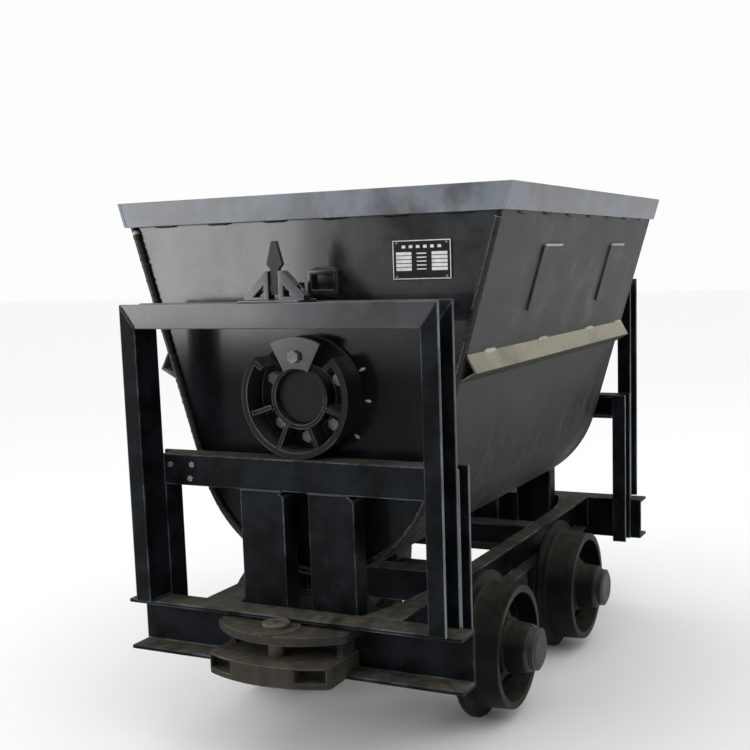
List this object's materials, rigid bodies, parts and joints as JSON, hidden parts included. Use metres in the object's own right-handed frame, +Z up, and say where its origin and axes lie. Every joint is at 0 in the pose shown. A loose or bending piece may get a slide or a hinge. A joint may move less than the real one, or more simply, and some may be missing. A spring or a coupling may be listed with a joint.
{
  "type": "tipping mine cart",
  "caption": "Side-tipping mine cart: flared round-bottomed tub on rolling rings, carried between two welded end portals on a narrow-gauge chassis with flanged wheels.",
  "frame": {"origin": "on the centre line half way between the axles, level with the lowest point of the wheel flanges", "axes": "+X along the track towards the front end, +Y along the axles to the cart's left, +Z up"},
  "size_m": [1.7, 0.98, 1.2499],
  "materials": {
    "tub_paint": "black gloss enamel over mild steel plate, dusty on upward faces",
    "frame_paint": "black gloss enamel over rolled channel, dusty on upward faces",
    "ring_casting": "black enamel over sand-cast iron, worn bright on the tread",
    "bumper_casting": "black enamel over sand-cast steel, worn at the edges",
    "wheel_casting": "black enamel over sand-cast steel, worn on tread and flange",
    "axle_box_casting": "black enamel over casting",
    "axle_steel": "forged and turned steel, dull",
    "bearing_steel": "ground bearing steel",
    "fastener_steel": "painted bolts and nuts",
    "lever_paint": "black enamel worn by hands",
    "rating_plate": "blank black plate with a pale border and blank pale fields"
  },
  "bodies": {
    "root": {"cross_members": "frame_paint", "corner_gussets": "frame_paint", "axle_saddles": "axle_box_casting", "axle_nuts": "fastener_steel", "latch_brackets": "frame_paint", "latch_pivots": "fastener_steel", "top_bar_front": "frame_paint", "rolling_rail_front": "frame_paint", "centre_posts_front": "frame_paint", "end_sill_front": "frame_paint", "axle_front": "axle_steel", "bumper_front": "bumper_casting", "portal_post_front_left": "frame_paint", "rail_post_front_left": "frame_paint", "portal_post_front_right": "frame_paint", "rail_post_front_right": "frame_paint", "top_bar_rear": "frame_paint", "rolling_rail_rear": "frame_paint", "centre_posts_rear": "frame_paint", "end_sill_rear": "frame_paint", "axle_rear": "axle_steel", "bumper_rear": "bumper_casting", "portal_post_rear_left": "frame_paint", "rail_post_rear_left": "frame_paint", "portal_post_rear_right": "frame_paint", "rail_post_rear_right": "frame_paint", "chassis_rail_left": "frame_paint", "chassis_rail_right": "frame_paint"},
    "roll_centre": {"trunnion_caps": "ring_casting"},
    "tub": {"tub_shell": "tub_paint", "tub_end_front": "tub_paint", "tub_end_rear": "tub_paint", "rim_sides": "tub_paint", "rim_ends": "tub_paint", "wall_pads": "tub_paint", "rating_plate": "rating_plate", "side_stiffener_left": "tub_paint", "side_stiffener_right": "tub_paint", "rolling_ring_front": "ring_casting", "rolling_ring_rear": "ring_casting", "ring_cap_plates": "ring_casting", "ring_bolts": "fastener_steel", "latch_keepers": "tub_paint", "end_loops": "tub_paint"},
    "coupling_pin_front": {"coupling_pin_front": "axle_steel"},
    "latch_lever_front": {"latch_lever_front": "lever_paint"},
    "wheel_front_left": {"wheel_front_left": "wheel_casting", "wheel_bearings_front_left": "bearing_steel", "hub_cap_front_left": "wheel_casting"},
    "wheel_front_right": {"wheel_front_right": "wheel_casting", "wheel_bearings_front_right": "bearing_steel", "hub_cap_front_right": "wheel_casting"},
    "coupling_pin_rear": {"coupling_pin_rear": "axle_steel"},
    "latch_lever_rear": {"latch_lever_rear": "lever_paint"},
    "wheel_rear_left": {"wheel_rear_left": "wheel_casting", "wheel_bearings_rear_left": "bearing_steel", "hub_cap_rear_left": "wheel_casting"},
    "wheel_rear_right": {"wheel_rear_right": "wheel_casting", "wheel_bearings_rear_right": "bearing_steel", "hub_cap_rear_right": "wheel_casting"}
  },
  "joints": [
    {"name": "tub_shift", "type": "slide", "parent": "root", "child": "roll_centre", "axis": [0, 1, 0], "range_m": [-0.095, 0.095]},
    {"name": "tub_roll", "type": "hinge", "parent": "roll_centre", "child": "tub", "pos_m": [0, 0, 0.8103], "axis": [1, 0, 0], "range_deg": [-40, 40]},
    {"name": "coupling_pin_front_lift", "type": "slide", "parent": "root", "child": "coupling_pin_front", "axis": [0, 0, 1], "range_m": [0, 0.09]},
    {"name": "latch_lever_front_turn", "type": "hinge", "parent": "root", "child": "latch_lever_front", "pos_m": [0.715, 0, 1.05], "axis": [0, 1, 0], "range_deg": [-18, 50]},
    {"name": "wheel_front_left_spin", "type": "hinge", "parent": "root", "child": "wheel_front_left", "pos_m": [0.28, 0.3, 0.177], "axis": [0, 1, 0], "continuous": true},
    {"name": "wheel_front_right_spin", "type": "hinge", "parent": "root", "child": "wheel_front_right", "pos_m": [0.28, -0.3, 0.177], "axis": [0, 1, 0], "continuous": true},
    {"name": "coupling_pin_rear_lift", "type": "slide", "parent": "root", "child": "coupling_pin_rear", "axis": [0, 0, 1], "range_m": [0, 0.09]},
    {"name": "latch_lever_rear_turn", "type": "hinge", "parent": "root", "child": "latch_lever_rear", "pos_m": [-0.715, 0, 1.05], "axis": [0, -1, 0], "range_deg": [-18, 50]},
    {"name": "wheel_rear_left_spin", "type": "hinge", "parent": "root", "child": "wheel_rear_left", "pos_m": [-0.28, 0.3, 0.177], "axis": [0, 1, 0], "continuous": true},
    {"name": "wheel_rear_right_spin", "type": "hinge", "parent": "root", "child": "wheel_rear_right", "pos_m": [-0.28, -0.3, 0.177], "axis": [0, 1, 0], "continuous": true}
  ],
  "couplings": [
    {"joint": "tub_shift", "follows": "tub_roll", "m_per_rad": -0.133}
  ]
}
